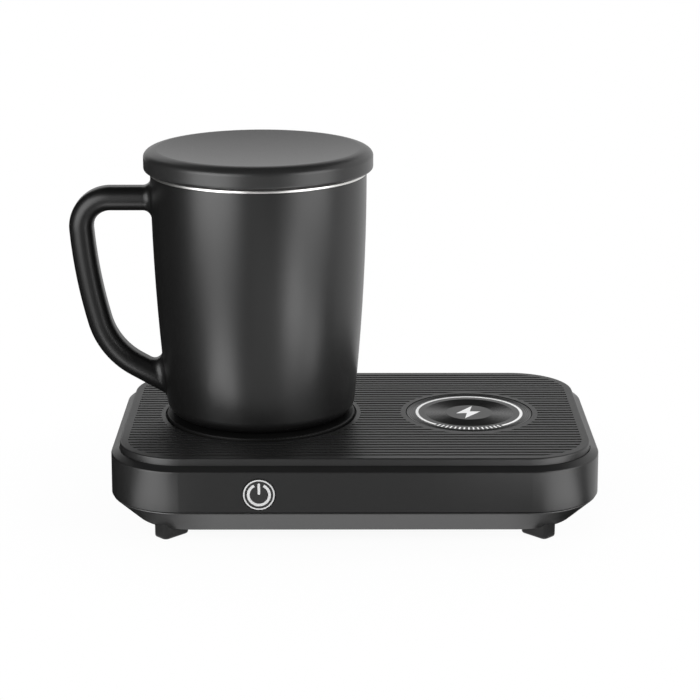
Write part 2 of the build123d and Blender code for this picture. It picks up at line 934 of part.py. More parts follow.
def mug_liner():
    """The steel inner cup, whose rim turns out over the shell's top edge."""
    cup = mug_form(liner_inset, mug_base_thickness, liner_edge_round)
    bore_low = mug_base_thickness + liner_wall
    bore = mug_form(liner_inset + liner_wall, bore_low, liner_edge_round - liner_wall)
    lip = ring(mug_x, mug_y, mug_top_radius, mouth_radius, lip_bottom, lip_top)
    lip = fillet(level_edges(lip, lip_top), lip_edge_round)
    outer = [edge for edge in level_edges(lip, lip_bottom) if edge.radius > mouth_radius]
    return cup - bore + fillet(outer, lip_low_round)


def mug_base():
    """The solid disc that fills the floor and carries the heat into the liner."""
    step = mug_bottom + mug_wall
    high = mug_bottom + mug_base_thickness
    plate = disc(mug_x, mug_y, mug_base_radius - mug_base_fit, mug_bottom, step)
    return plate + disc(mug_x, mug_y, mug_base_radius + mug_base_step, step, high)


def handle_bar():
    """The handle's bar: out from the wall, down in a long curve and back in."""
    far = handle_reach - handle_thickness / 2
    start = (-mug_top_radius + handle_bury, handle_top)
    corner = (-far + handle_top_bend, handle_top)
    top = Line(start, corner)
    bend = JernArc(corner, (-1, 0), handle_top_bend, handle_top_turn)
    back = JernArc(bend @ 1, bend % 1, handle_back_bend, handle_back_turn)
    low = JernArc(back @ 1, back % 1, handle_low_bend, handle_low_turn)
    root = Line(low @ 1, low @ 1 + (low % 1) * 3 * handle_bury)
    path = Wire([top, bend, back, low, root])
    section_plane = Plane(origin=(*start, 0), x_dir=(0, 0, 1), z_dir=(-1, 0, 0))
    section = section_plane * SlotOverall(handle_width, handle_thickness)
    swept = sweep(section, path=path)
    return Pos(mug_x, mug_y, mug_bottom) * Rot(90, 0, 0) * swept


def mug_handle():
    """The handle, with a rounded flare where each end meets the mug."""
    body = mug_form(0, 0, mug_edge_round)
    arm = handle_bar()
    joined = body + arm
    roots = new_edges(body, arm, combined=joined)
    return fillet(roots, handle_root_round) - mug_form(-handle_bond, 0, mug_edge_round)


def lid_half_section():
    """Half the lid's section: a shallow bowl, a falling shoulder, and a seat inside the rim."""
    centre = (0, lid_top - lid_dish_depth)
    crest = (lid_crest_radius, lid_top)
    bowl = ThreePointArc((-lid_crest_radius, lid_top), centre, crest).trim(0.5, 1)
    middle = (lid_crest_radius, lid_top - lid_shoulder_drop)
    width = lid_radius - lid_crest_radius
    shoulder = EllipticalCenterArc(middle, width, lid_shoulder_drop, arc_size=90)
    rim_bottom = lid_bottom + lid_rim_gap
    rest = Polyline(
        (lid_radius, lid_top - lid_shoulder_drop), (lid_radius, rim_bottom),
        (lid_seat_radius, rim_bottom), (lid_seat_radius, lid_bottom), (0, lid_bottom), centre,
    )
    return make_face([bowl, shoulder, *rest.edges()])


def lid_cap():
    """The lid's cover: a solid turned from its section, its rim rounded, hollow below."""
    cap = Pos(mug_x, mug_y, 0) * revolve(Rot(90, 0, 0) * lid_half_section(), Axis.Z)
    rim_edges = level_edges(cap, lid_bottom + lid_rim_gap)
    outer = [edge for edge in rim_edges if edge.radius > lid_seat_radius]
    cap = fillet(outer, lid_low_round)
    return cap - disc(mug_x, mug_y, plug_radius + plug_fit, lid_bottom, lid_top - lid_skin)


def lid_plug():
    """The hollow collar under the cover that enters the mug."""
    low = lid_bottom - plug_depth
    high = lid_top - lid_skin
    plug = disc(mug_x, mug_y, plug_radius, low, high)
    plug -= disc(mug_x, mug_y, plug_radius - plug_wall, low + plug_floor, high)
    return plug - ring(mug_x, mug_y, plug_radius, plug_radius - seal_bite, seal_bottom, seal_top)


def lid_seal():
    """The soft ring in the plug's groove, just short of the liner."""
    outer = mouth_radius - seal_gap
    seal = ring(mug_x, mug_y, outer, plug_radius - seal_bite, seal_bottom, seal_top)
    rims = [edge for edge in seal.edges().filter_by(GeomType.CIRCLE) if edge.radius > plug_radius]
    return fillet(rims, seal_edge_round)


pieces = {
    "lower_shell": lower_shell,
    "upper_shell": upper_shell,
    "top_plate": top_plate,
    "charging_disc": charging_disc,
    "heater_plate": heater_plate,
    "heater_seal": heater_seal,
    "heating_element": heating_element,
    "heater_insulation": heater_insulation,
    "heater_clamp": heater_clamp,
    "heater_screws": heater_screws,
    "thermistor": thermistor,
    "thermal_fuse": thermal_fuse,
    "charging_coil": charging_coil,
    "ferrite_plate": ferrite_plate,
    "coil_holder": coil_holder,
    "coil_screws": coil_screws,
    "main_board": main_board,
    "board_screws": board_screws,
    "control_chips": control_chips,
    "power_inductor": power_inductor,
    "capacitors": capacitors,
    "power_inlet": power_inlet,
    "button_board": button_board,
    "tact_switch": tact_switch,
    "switch_plunger": switch_plunger,
    "status_light": status_light,
    "power_button": power_button,
    "feet": feet,
    "housing_screws": housing_screws,
    "heater_leads": heater_leads,
    "coil_leads": coil_leads,
    "mug_shell": mug_shell,
    "mug_liner": mug_liner,
    "mug_base": mug_base,
    "mug_handle": mug_handle,
    "lid_cap": lid_cap,
    "lid_plug": lid_plug,
    "lid_seal": lid_seal,
}

os.makedirs("parts", exist_ok=True)
for name, make in pieces.items():
    export_step(make(), f"parts/{name}.step")
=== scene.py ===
"""Electric mug warmer: a ribbed base with a heater plate and a charging disc, and a lidded mug."""

import bpy
import numpy as np
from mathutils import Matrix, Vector


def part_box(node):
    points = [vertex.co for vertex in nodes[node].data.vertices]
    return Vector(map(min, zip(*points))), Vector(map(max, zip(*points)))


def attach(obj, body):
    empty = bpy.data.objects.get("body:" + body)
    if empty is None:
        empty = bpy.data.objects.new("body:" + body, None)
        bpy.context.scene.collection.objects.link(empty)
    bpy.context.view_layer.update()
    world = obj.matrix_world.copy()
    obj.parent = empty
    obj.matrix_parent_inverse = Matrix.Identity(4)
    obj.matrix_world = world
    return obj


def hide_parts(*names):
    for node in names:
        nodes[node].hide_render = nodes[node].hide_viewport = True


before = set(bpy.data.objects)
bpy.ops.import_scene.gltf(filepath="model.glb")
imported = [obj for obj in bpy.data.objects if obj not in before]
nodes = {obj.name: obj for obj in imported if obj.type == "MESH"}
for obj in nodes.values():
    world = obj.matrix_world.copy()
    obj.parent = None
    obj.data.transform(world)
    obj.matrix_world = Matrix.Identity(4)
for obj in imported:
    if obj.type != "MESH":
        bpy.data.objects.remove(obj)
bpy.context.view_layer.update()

MM = 0.001


# ---------------------------------------------------------------- node helper and colours


def colour(code):
    """An sRGB hex code as linear red, green, blue and alpha."""
    channels = np.array([int(code[i : i + 2], 16) for i in (1, 3, 5)]) / 255
    linear = np.where(channels <= 0.04045, channels / 12.92, ((channels + 0.055) / 1.055) ** 2.4)
    return (*linear.tolist(), 1.0)


def add(tree, kind, links=None, **settings):
    """One shader node: its attributes and input values, and the sockets that feed it.

    A setting that isn't an attribute is an input, with _ for each space in its name.
    """
    node = tree.nodes.new(kind)
    for name, value in settings.items():
        if hasattr(node, name):
            setattr(node, name, value)
        else:
            node.inputs[name.replace("_", " ")].default_value = value
    for target, source in (links or {}).items():
        tree.links.new(source, node.inputs[target])
    return node


def blank(name):
    """An empty material, its node tree and the object's own coordinates."""
    material = bpy.data.materials.new(name)
    material.use_nodes = True
    tree = material.node_tree
    tree.nodes.clear()
    return material, tree, add(tree, "ShaderNodeTexCoord").outputs["Object"]


def finish_surface(tree, base, links, **settings):
    """The surface shader with a base colour that is set or linked, joined to the output."""
    shader = add(tree, "ShaderNodeBsdfPrincipled", links, **settings)
    if isinstance(base, tuple):
        shader.inputs["Base Color"].default_value = base
    else:
        tree.links.new(base, shader.inputs["Base Color"])
    add(tree, "ShaderNodeOutputMaterial", {"Surface": shader.outputs[0]})


def speckled(tree, place, low, high, grain, detail=2.0):
    """Two colours mixed by noise of a given grain size, and that noise."""
    noise = add(tree, "ShaderNodeTexNoise", {"Vector": place}, Scale=1 / grain, Detail=detail)
    mix = add(tree, "ShaderNodeMix", {0: noise.outputs[0]}, data_type="RGBA")
    # Sockets 6 and 7 are the node's two colours, and output 2 is their mix.
    mix.inputs[6].default_value = colour(low)
    mix.inputs[7].default_value = colour(high)
    return mix.outputs[2], noise.outputs[0]


def grained(tree, place, grain, detail, depth, rough, play):
    """The links of a surface that one fine noise both raises and makes more or less glossy."""
    noise = add(tree, "ShaderNodeTexNoise", {"Vector": place}, Scale=1 / grain, Detail=detail)
    height = noise.outputs[0]
    gloss = add(
        tree, "ShaderNodeMapRange", {"Value": height}, To_Min=rough - play, To_Max=rough + play
    )
    bump = add(tree, "ShaderNodeBump", {"Height": height}, Distance=depth)
    return {"Roughness": gloss.outputs[0], "Normal": bump.outputs[0]}


# ---------------------------------------------------------------- materials


def moulded(name, dark, light, grain, depth, rough, specular):
    """Injection-moulded plastic: a spark-eroded grain, with a slow drift in tone and gloss.

    Grain and depth are in millimetres. A real grain is under 0.1 mm, too fine to show, so it
    is drawn coarser.
    """
    tone_patch, gloss_play = 24 * MM, 0.05
    material, tree, place = blank(name)
    base, _ = speckled(tree, place, dark, light, tone_patch)
    links = grained(tree, place, grain * MM, 3.0, depth * MM, rough, gloss_play)
    finish_surface(tree, base, links, Specular_IOR_Level=specular)
    return material


def powder_coated(name, dark, light, rough, specular):
    """Black powder coat on metal: a soft sheen with a fine orange peel."""
    tone_patch, peel, peel_depth, gloss_play = 18 * MM, 0.9 * MM, 0.004 * MM, 0.03
    material, tree, place = blank(name)
    base, _ = speckled(tree, place, dark, light, tone_patch)
    links = grained(tree, place, peel, 1.5, peel_depth, rough, gloss_play)
    finish_surface(tree, base, links, Specular_IOR_Level=specular)
    return material


def turned_metal(name, code, rough, axis_at, pitch=0.4 * MM):
    """Bare metal finished on a lathe: fine rings of gloss about an upright axis at a point."""
    gloss_play = 0.04
    material, tree, place = blank(name)
    centred = add(
        tree, "ShaderNodeMapping", {"Vector": place}, Location=(-axis_at[0], -axis_at[1], 0)
    )
    # The wave repeats 10 / pi times its scale in a metre.
    rings = add(
        tree, "ShaderNodeTexWave", {"Vector": centred.outputs[0]},
        wave_type="RINGS", rings_direction="Z", Scale=np.pi / (10 * pitch), Distortion=0.4,
    )
    gloss = add(
        tree, "ShaderNodeMapRange", {"Value": rings.outputs["Fac"]},
        To_Min=rough - gloss_play, To_Max=rough + gloss_play,
    )
    finish_surface(tree, colour(code), {"Roughness": gloss.outputs[0]}, Metallic=1.0)
    return material


def plain_metal(name, code, rough):
    """Plated or drawn metal with faint handling marks."""
    mark, mark_depth, gloss_play = 1.5 * MM, 0.003 * MM, 0.08
    material, tree, place = blank(name)
    links = grained(tree, place, mark, 4.0, mark_depth, rough, gloss_play)
    finish_surface(tree, colour(code), links, Metallic=1.0)
    return material


def rubber(name, dark, light, rough):
    """Silicone rubber: matte, with a dusty drift in tone."""
    dust, dust_depth = 0.6 * MM, 0.01 * MM
    material, tree, place = blank(name)
    base, noise = speckled(tree, place, dark, light, dust, 3.0)
    bump = add(tree, "ShaderNodeBump", {"Height": noise}, Distance=dust_depth)
    links = {"Normal": bump.outputs[0]}
    finish_surface(tree, base, links, Roughness=rough, Specular_IOR_Level=0.25)
    return material


def fibre_felt(name, dark, light):
    """Needled glass-fibre felt: pale tangled strands, long along Y and thin in Z."""
    strand, strand_depth, stretch = 0.9 * MM, 0.15 * MM, (1, 0.35, 3)
    material, tree, place = blank(name)
    stretched = add(tree, "ShaderNodeMapping", {"Vector": place}, Scale=stretch)
    base, noise = speckled(tree, stretched.outputs[0], dark, light, strand, 5.0)
    bump = add(tree, "ShaderNodeBump", {"Height": noise}, Distance=strand_depth)
    links = {"Normal": bump.outputs[0]}
    finish_surface(tree, base, links, Roughness=0.95, Specular_IOR_Level=0.1)
    return material


def circuit_board(name):
    """Green solder mask over copper: darker where no track runs beneath."""
    track_cell, track_height = 6 * MM, 0.02 * MM
    material, tree, place = blank(name)
    tracks = add(
        tree, "ShaderNodeTexBrick", {"Vector": place},
        Scale=1 / track_cell, Mortar_Size=0.06, Mortar_Smooth=0.2, Brick_Width=0.9,
        Row_Height=0.35, Color1=colour("#0c3d1f"), Color2=colour("#0f4625"),
        Mortar=colour("#1d6a3a"),
    )
    bump = add(tree, "ShaderNodeBump", {"Height": tracks.outputs["Fac"]}, Distance=track_height)
    links = {"Normal": bump.outputs[0]}
    finish_surface(tree, tracks.outputs["Color"], links, Roughness=0.32)
    return material


def screen_ink(name, dark, light):
    """Screen-printed ink: flat and opaque, with the mesh's faint unevenness."""
    mesh_step, mesh_depth = 0.25 * MM, 0.003 * MM
    material, tree, place = blank(name)
    base, noise = speckled(tree, place, dark, light, mesh_step)
    bump = add(tree, "ShaderNodeBump", {"Height": noise}, Distance=mesh_depth)
    links = {"Normal": bump.outputs[0]}
    finish_surface(tree, base, links, Roughness=0.5, Specular_IOR_Level=0.3)
    return material


def middle_of(name):
    """The point halfway between a node's two corners."""
    low, high = (np.array(corner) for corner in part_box(name))
    return (low + high) / 2


mug_centre = middle_of("mug_base")
disc_centre = middle_of("charging_disc")

# Moulded plastics: dark and light tone, grain and depth in mm, roughness, specular level
abs_wall = moulded("abs_fine_grain", "#121212", "#151515", 0.45, 0.006, 0.36, 0.36)
abs_tray = moulded("abs_tray", "#1f1f1f", "#222222", 0.45, 0.006, 0.36, 0.7)
abs_plate = moulded("abs_ribbed_plate", "#101010", "#131313", 0.4, 0.005, 0.42, 0.46)
abs_inlay = moulded("abs_grooved_inlay", "#161616", "#191919", 0.4, 0.004, 0.36, 0.38)
abs_button = moulded("abs_button_cap", "#1d1d1d", "#202020", 0.45, 0.005, 0.4, 0.35)
lid_plastic = moulded("polypropylene_lid", "#1a1a1a", "#1d1d1d", 0.5, 0.005, 0.37, 0.41)
lid_inner = moulded("polypropylene_lid_inside", "#262626", "#292929", 0.5, 0.006, 0.5, 0.35)
handle_plastic = moulded("nylon_handle", "#0c0c0c", "#0f0f0f", 0.4, 0.003, 0.36, 0.3)
holder_plastic = moulded("nylon_coil_holder", "#b9b6ad", "#c4c1b8", 0.5, 0.01, 0.5, 0.4)
chip_epoxy = moulded("moulded_epoxy", "#161616", "#1b1b1b", 0.15, 0.006, 0.6, 0.35)
switch_plastic = moulded("switch_nylon", "#1a1a1a", "#202020", 0.3, 0.006, 0.5, 0.35)
plunger_plastic = moulded("plunger_acetal", "#2b2b2b", "#323232", 0.3, 0.004, 0.4, 0.4)
frosted_lamp = moulded("frosted_polycarbonate", "#e6e3d8", "#efece2", 0.2, 0.004, 0.45, 0.5)

# Pressed and sintered black stone, with the same kind of grain as a moulding
ferrite_stone = moulded("sintered_ferrite", "#2a2a2c", "#343436", 0.3, 0.02, 0.7, 0.3)

# Coated metals: dark and light tone, roughness, specular level
mug_coat = powder_coated("powder_coated_steel", "#0b0b0b", "#0e0e0e", 0.35, 0.48)
heater_coat = powder_coated("ceramic_coated_aluminium", "#0a0a0a", "#0d0d0d", 0.45, 0.09)

# Bare metals: tone, roughness
steel_liner = turned_metal("brushed_stainless_steel", "#d2d1cf", 0.36, mug_centre)
mug_floor = turned_metal("turned_aluminium", "#bdbdbd", 0.35, mug_centre)
zinc_steel = plain_metal("zinc_plated_steel", "#b4b4b2", 0.35)
pressed_steel = plain_metal("pressed_spring_steel", "#a3a3a1", 0.4)
tinned_shell = plain_metal("tin_plated_shell", "#c2c2c0", 0.3)
drawn_aluminium = plain_metal("drawn_aluminium_can", "#bfc0c2", 0.35)
enamelled_copper = plain_metal("enamelled_copper_wire", "#b06a35", 0.3)

# Rubbers: dark and light tone, roughness
foot_rubber = rubber("soft_foot_rubber", "#202020", "#262626", 0.30)
seal_rubber = rubber("silicone_seal", "#090909", "#0d0d0d", 0.6)
lid_silicone = rubber("silicone_lid_ring", "#3a3a3a", "#424242", 0.55)
heater_silicone = rubber("silicone_heater_pad", "#97401c", "#a34822", 0.6)
red_sleeve = rubber("red_silicone_sleeve", "#93201a", "#a02820", 0.5)
pale_sleeve = rubber("pale_silicone_sleeve", "#cbc7ba", "#d6d2c6", 0.5)

felt_pad = fibre_felt("glass_fibre_felt", "#cfcabb", "#e8e4d8")
board_lacquer = circuit_board("solder_mask_on_copper")
ink = screen_ink("white_screen_ink", "#f0f0f0", "#f8f8f8")
ink_soft = screen_ink("pale_backlit_ink", "#a8a8a8", "#b0b0b0")

finishes = {
    abs_wall: ["upper_shell"],
    abs_tray: ["lower_shell"],
    abs_plate: ["top_plate"],
    abs_inlay: ["charging_disc"],
    abs_button: ["power_button"],
    heater_coat: ["heater_plate"],
    seal_rubber: ["heater_seal"],
    heater_silicone: ["heating_element"],
    felt_pad: ["heater_insulation"],
    pressed_steel: ["heater_clamp"],
    zinc_steel: ["heater_screws", "coil_screws", "board_screws", "housing_screws"],
    drawn_aluminium: ["thermistor", "thermal_fuse", "capacitors"],
    enamelled_copper: ["charging_coil"],
    ferrite_stone: ["ferrite_plate", "power_inductor"],
    holder_plastic: ["coil_holder"],
    board_lacquer: ["main_board", "button_board"],
    chip_epoxy: ["control_chips"],
    tinned_shell: ["power_inlet"],
    switch_plastic: ["tact_switch"],
    plunger_plastic: ["switch_plunger"],
    frosted_lamp: ["status_light"],
    foot_rubber: ["feet"],
    red_sleeve: ["heater_leads"],
    pale_sleeve: ["coil_leads"],
    mug_coat: ["mug_shell"],
    steel_liner: ["mug_liner"],
    mug_floor: ["mug_base"],
    handle_plastic: ["mug_handle"],
    lid_plastic: ["lid_cap"],
    lid_inner: ["lid_plug"],
    lid_silicone: ["lid_seal"],
}
for material, names in finishes.items():
    for name in names:
        nodes[name].data.materials.clear()
        nodes[name].data.materials.append(material)


# ---------------------------------------------------------------- the charging disc


def mesh_object(name, corners, faces, material):
    """An object in the scene from its corners, its faces and its material."""
    mesh = bpy.data.meshes.new(name)
    mesh.from_pydata(corners, [], faces)
    mesh.materials.append(material)
    made = bpy.data.objects.new(name, mesh)
    bpy.context.scene.collection.objects.link(made)
    return made


def make_piece(name, corners, faces, material, body, slot):
    """A named piece of the part, riding on a body."""
    piece = mesh_object(name, corners.tolist(), faces, material)
    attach(piece, body)
    return piece


disc_segments = 192
disc_edge_round = 0.25 * MM
fine_rings = {"start": 9.9 * MM, "stop": 19.0 * MM, "pitch": 0.6 * MM, "depth": 0.13 * MM}
wide_rings = {"start": 23.8 * MM, "stop": 26.0 * MM, "pitch": 0.8 * MM, "depth": 0.12 * MM}


def cut_rings(start, stop, pitch, depth):
    """Radii and heights of V grooves: a step of half a pitch, every other point cut down."""
    radius = np.arange(start, stop, pitch / 2)
    return np.column_stack([radius, -depth * (np.arange(len(radius)) % 2)])


def ringed_disc():
    """The charging disc, turned from half its section.

    Corner (i, j) is (r(i) cos a(j), r(i) sin a(j), top + h(i)) about the disc's axis. The
    section r, h runs out over the fine tool rings round the hub, the flat band that takes
    the print and the wider rings by the edge, over the rounded edge and down the side.
    """
    low, high = (np.array(corner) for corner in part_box("charging_disc"))
    outer = (high[0] - low[0]) / 2
    edge = disc_edge_round
    turn = np.radians([90, 60, 30, 0])
    rounded = np.column_stack([outer - edge + edge * np.cos(turn), edge * np.sin(turn) - edge])
    side_foot = [[outer, low[2] - high[2]]]
    section = np.concatenate([cut_rings(**fine_rings), cut_rings(**wide_rings), rounded, side_foot])
    count = len(section)
    angle = np.radians(np.linspace(0, 360, disc_segments, endpoint=False))
    across = section[:, 0, None] * np.cos(angle) + disc_centre[0]
    along = section[:, 0, None] * np.sin(angle) + disc_centre[1]
    height = np.broadcast_to(section[:, 1, None] + high[2], across.shape)
    corners = np.stack([across, along, height], -1).reshape(-1, 3)
    here = np.arange(disc_segments)
    after = (here + 1) % disc_segments
    row = np.arange(count - 1)[:, None] * disc_segments
    next_row = row + disc_segments
    quads = np.stack([row + here, next_row + here, next_row + after, row + after], -1)
    hub = here.tolist()
    underside = ((count - 1) * disc_segments + here[::-1]).tolist()
    return corners, [hub, *quads.reshape(-1, 4).tolist(), underside]


disc_piece = make_piece("ringed_disc", *ringed_disc(), abs_inlay, "base", "inlay")
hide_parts("charging_disc")


# ---------------------------------------------------------------- prints


print_thickness = 0.04 * MM


def strip_of_ink(left, right, closed=False):
    """A closed ribbon of ink between two lines of points in a plane.

    Point i of the ribbon's section is one of left(i) and right(i) at height 0 and at the
    print's thickness; the four of them are carried along i, and an open ribbon has two ends.
    """
    count = len(left)
    low, high = np.zeros((count, 1)), np.full((count, 1), print_thickness)
    section = [(left, low), (right, low), (right, high), (left, high)]
    lines = [np.hstack([line, level]) for line, level in section]
    here = np.arange(count if closed else count - 1)
    after = (here + 1) % count
    side = np.arange(4)[:, None] * count
    other = np.roll(side, -1, axis=0)
    faces = np.stack([side + here, other + here, other + after, side + after], -1).reshape(-1, 4)
    if not closed:
        start = np.arange(4) * count
        faces = np.concatenate([faces, [start[::-1], start + count - 1]])
    return np.concatenate(lines), faces.tolist()


def arc_of_ink(radius, stroke, start, end, steps=121):
    """An arc whose middle is (radius cos a, radius sin a), with a from start to end degrees."""
    closed = end - start >= 360
    angle = np.radians(np.linspace(start, end, steps, endpoint=not closed))
    way = np.column_stack([np.cos(angle), np.sin(angle)])
    return strip_of_ink((radius + stroke / 2) * way, (radius - stroke / 2) * way, closed)


def bar_of_ink(foot, head, stroke, steps=25, tip_share=0.01):
    """A bar with round ends: half-width stroke/2 sin b along its length, where b is the angle
    round the end, which goes from 0 to 90 degrees at the foot and back to 0 at the head. The
    two tips keep a small share of the width, so that no face there closes to a line."""
    turn = np.radians(np.linspace(0, 90, steps))
    back = turn[::-1]
    along = np.concatenate([foot - stroke / 2 * np.cos(turn), head + stroke / 2 * np.cos(back)])
    half = stroke / 2 * np.maximum(np.concatenate([np.sin(turn), np.sin(back)]), tip_share)
    return strip_of_ink(np.column_stack([half, along]), np.column_stack([-half, along]))


def on_button(corners):
    """Corners drawn about the middle of the button's face, looking at it from the front."""
    middle = middle_of("power_button")
    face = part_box("power_button")[0][1]
    across, up, out = corners.T
    return np.column_stack([middle[0] + across, face - out, middle[2] + up])


def on_disc(corners):
    """Corners drawn about the middle of the charging disc's top, looking down on it."""
    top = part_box("charging_disc")[1][2]
    return corners + (disc_centre[0], disc_centre[1], top)


def print_on_button(name, drawn):
    """A print in pale ink that moves with the button."""
    corners, faces = drawn
    make_piece(name, on_button(corners), faces, ink_soft, "button", "button")


def print_on_disc(name, drawn):
    """A print in white ink on the charging disc."""
    corners, faces = drawn
    make_piece(name, on_disc(corners), faces, ink, "base", "inlay")


button_ring_radius, button_ring_stroke = 6.02 * MM, 0.54 * MM
icon_radius, icon_stroke = 4.25 * MM, 1.06 * MM
icon_opening = 25.5  # degrees from the top to each end of the arc
bar_foot, bar_head, bar_stroke = 0.6 * MM, 4.35 * MM, 1.02 * MM

print_on_button("button_ring_print", arc_of_ink(button_ring_radius, button_ring_stroke, 0, 360))
icon_ends = (icon_opening - 270, 90 - icon_opening)
print_on_button("button_arc_print", arc_of_ink(icon_radius, icon_stroke, *icon_ends))
print_on_button("button_bar_print", bar_of_ink(bar_foot, bar_head, bar_stroke))

# The disc's ring is open round the angle scale_turn, for a scale of marks. Angles in degrees.
disc_ring_radius, disc_ring_stroke = 22.2 * MM, 1.2 * MM
scale_turn, scale_half_width, scale_margin = -93.3, 38.4, 4
mark_count, mark_length, mark_stroke = 15, 2.6 * MM, 0.7 * MM

ring_ends = (scale_turn + scale_half_width, scale_turn + 360 - scale_half_width)
print_on_disc("disc_ring_print", arc_of_ink(disc_ring_radius, disc_ring_stroke, *ring_ends))


def scale_marks():
    """Short straight marks across the ring's line, spread evenly over its open part.

    Mark k lies at angle a(k) and is the rectangle of points at radius R +- length/2 and
    +- stroke/2 to the side, so that all marks are one array of corners turned by a(k).
    """
    room = scale_half_width - scale_margin
    angle = np.radians(scale_turn + np.linspace(-room, room, mark_count))
    out = np.column_stack([np.cos(angle), np.sin(angle)])[:, None, :]
    side = np.column_stack([-np.sin(angle), np.cos(angle)])[:, None, :]
    reach = np.array([-1, 1, 1, -1])[None, :, None] * mark_length / 2 + disc_ring_radius
    shift = np.array([-1, -1, 1, 1])[None, :, None] * mark_stroke / 2
    flat = out * reach + side * shift
    low = np.concatenate([flat, np.zeros((mark_count, 4, 1))], 2)
    high = np.concatenate([flat, np.full((mark_count, 4, 1), print_thickness)], 2)
    corners = np.concatenate([low, high], 1).reshape(-1, 3)
    ends = [[3, 2, 1, 0], [4, 5, 6, 7]]
    sides = [[0, 1, 5, 4], [1, 2, 6, 5], [2, 3, 7, 6], [3, 0, 4, 7]]
    first_corner = 8 * np.arange(mark_count)[:, None, None]
    faces = (np.array(ends + sides)[None] + first_corner).reshape(-1, 4)
    return corners, faces.tolist()


print_on_disc("disc_scale_print", scale_marks())

bolt_outline = [(1.7, 8.8), (-5.5, -1.3), (-0.9, -0.9), (-2.1, -8.2), (4.9, 1.2), (0.4, 1.2)]


def bolt_of_ink():
    """The bolt sign: six corners that run anticlockwise from the top tip, as four triangles a
    face, with the low face turned over and a wall between the two along each edge."""
    outline = np.array(bolt_outline) * MM
    count = len(outline)
    corners = np.tile(outline, (2, 1))
    heights = np.repeat([0.0, print_thickness], count)
    face = np.array([[0, 1, 5], [1, 2, 5], [2, 4, 5], [2, 3, 4]])
    here = np.arange(count)
    after = np.roll(here, -1)
    walls = np.array([[here, after, after + count], [here, after + count, here + count]])
    walls = walls.transpose(0, 2, 1).reshape(-1, 3)
    faces = np.concatenate([face + count, face[:, ::-1], walls])
    return np.column_stack([corners, heights]), faces.tolist()


print_on_disc("disc_bolt_print", bolt_of_ink())


# ---------------------------------------------------------------- camera, floor and light


def stage_plane(name, corners, material):
    """One flat sheet of the studio, which isn't part of the object."""
    sheet = mesh_object(name, corners, [(0, 1, 2, 3)], material)
    return sheet


def lying(start, stop, front, back, level):
    """The corners of a level rectangle, anticlockwise from above."""
    return [(start, front, level), (stop, front, level), (stop, back, level), (start, back, level)]


def standing(foot, end, height):
    """The corners of a wall from the floor to a height, over the line between two points."""
    return [(*foot, 0), (*end, 0), (*end, height), (*foot, height)]


def seen_directly(tree):
    """1 for camera, glossy and transmission rays, else 0."""
    path = add(tree, "ShaderNodeLightPath").outputs
    either = add(
        tree, "ShaderNodeMath", {0: path["Is Camera Ray"], 1: path["Is Glossy Ray"]},
        operation="MAXIMUM",
    )
    every = add(
        tree, "ShaderNodeMath", {0: either.outputs[0], 1: path["Is Transmission Ray"]},
        operation="MAXIMUM",
    )
    return every.outputs[0]


white, card_tone = (1, 1, 1, 1), (0.01, 0.01, 0.01, 1)


def white_sheet(name, near, reach):
    """White paper that glows for the rays that see it: by the share near at the middle, and
    fully from the distance reach on, so that it still takes a shadow round the middle. From
    below it is clear, as a glass table is."""
    material, tree, place = blank(name)
    paper = add(tree, "ShaderNodeBsdfDiffuse", Color=(0.8, 0.8, 0.8, 1))
    glow = add(tree, "ShaderNodeEmission", Color=white, Strength=1.0)
    away = add(tree, "ShaderNodeVectorMath", {0: place}, operation="LENGTH")
    share = add(
        tree, "ShaderNodeMapRange", {"Value": away.outputs["Value"]}, From_Max=reach, To_Min=near
    )
    part = add(
        tree, "ShaderNodeMath", {0: seen_directly(tree), 1: share.outputs[0]},
        operation="MULTIPLY",
    )
    mix_links = {0: part.outputs[0], 1: paper.outputs[0], 2: glow.outputs[0]}
    mix = add(tree, "ShaderNodeMixShader", mix_links)
    below = add(tree, "ShaderNodeNewGeometry").outputs["Backfacing"]
    clear = add(tree, "ShaderNodeBsdfTransparent")
    sheet_links = {0: below, 1: mix.outputs[0], 2: clear.outputs[0]}
    sheet = add(tree, "ShaderNodeMixShader", sheet_links)
    add(tree, "ShaderNodeOutputMaterial", {"Surface": sheet.outputs[0]})
    return material


def black_card(name):
    """Black card that keeps light off one side of the set."""
    material, tree, _ = blank(name)
    card = add(tree, "ShaderNodeBsdfDiffuse", Color=card_tone)
    add(tree, "ShaderNodeOutputMaterial", {"Surface": card.outputs[0]})
    return material


def graded_card(name, axis, clear_at, black_at, most=1.0):
    """Black card that fades to clear film along one axis, and covers at most a given share."""
    material, tree, place = blank(name)
    along = add(tree, "ShaderNodeSeparateXYZ", {0: place}).outputs[axis]
    share = add(
        tree, "ShaderNodeMapRange", {"Value": along}, interpolation_type="SMOOTHSTEP",
        From_Min=clear_at, From_Max=black_at, To_Max=most,
    )
    card = add(tree, "ShaderNodeBsdfDiffuse", Color=card_tone)
    film = add(tree, "ShaderNodeBsdfTransparent")
    mix_links = {0: share.outputs[0], 1: film.outputs[0], 2: card.outputs[0]}
    mix = add(tree, "ShaderNodeMixShader", mix_links)
    add(tree, "ShaderNodeOutputMaterial", {"Surface": mix.outputs[0]})
    return material


def lamp(name, power, width, height, place):
    """A flat studio lamp, which faces down until it is turned."""
    light = bpy.data.lights.new(name, "AREA")
    light.shape = "RECTANGLE"
    light.size, light.size_y = width, height
    light.energy = power
    body = bpy.data.objects.new(name, light)
    body.location = place
    bpy.context.scene.collection.objects.link(body)
    return body


def aimed_lamp(name, power, width, height, place, aim):
    """A flat studio lamp that faces a point."""
    body = lamp(name, power, width, height, place)
    body.rotation_mode = "QUATERNION"
    body.rotation_quaternion = (Vector(aim) - Vector(place)).to_track_quat("-Z", "Y")
    return body


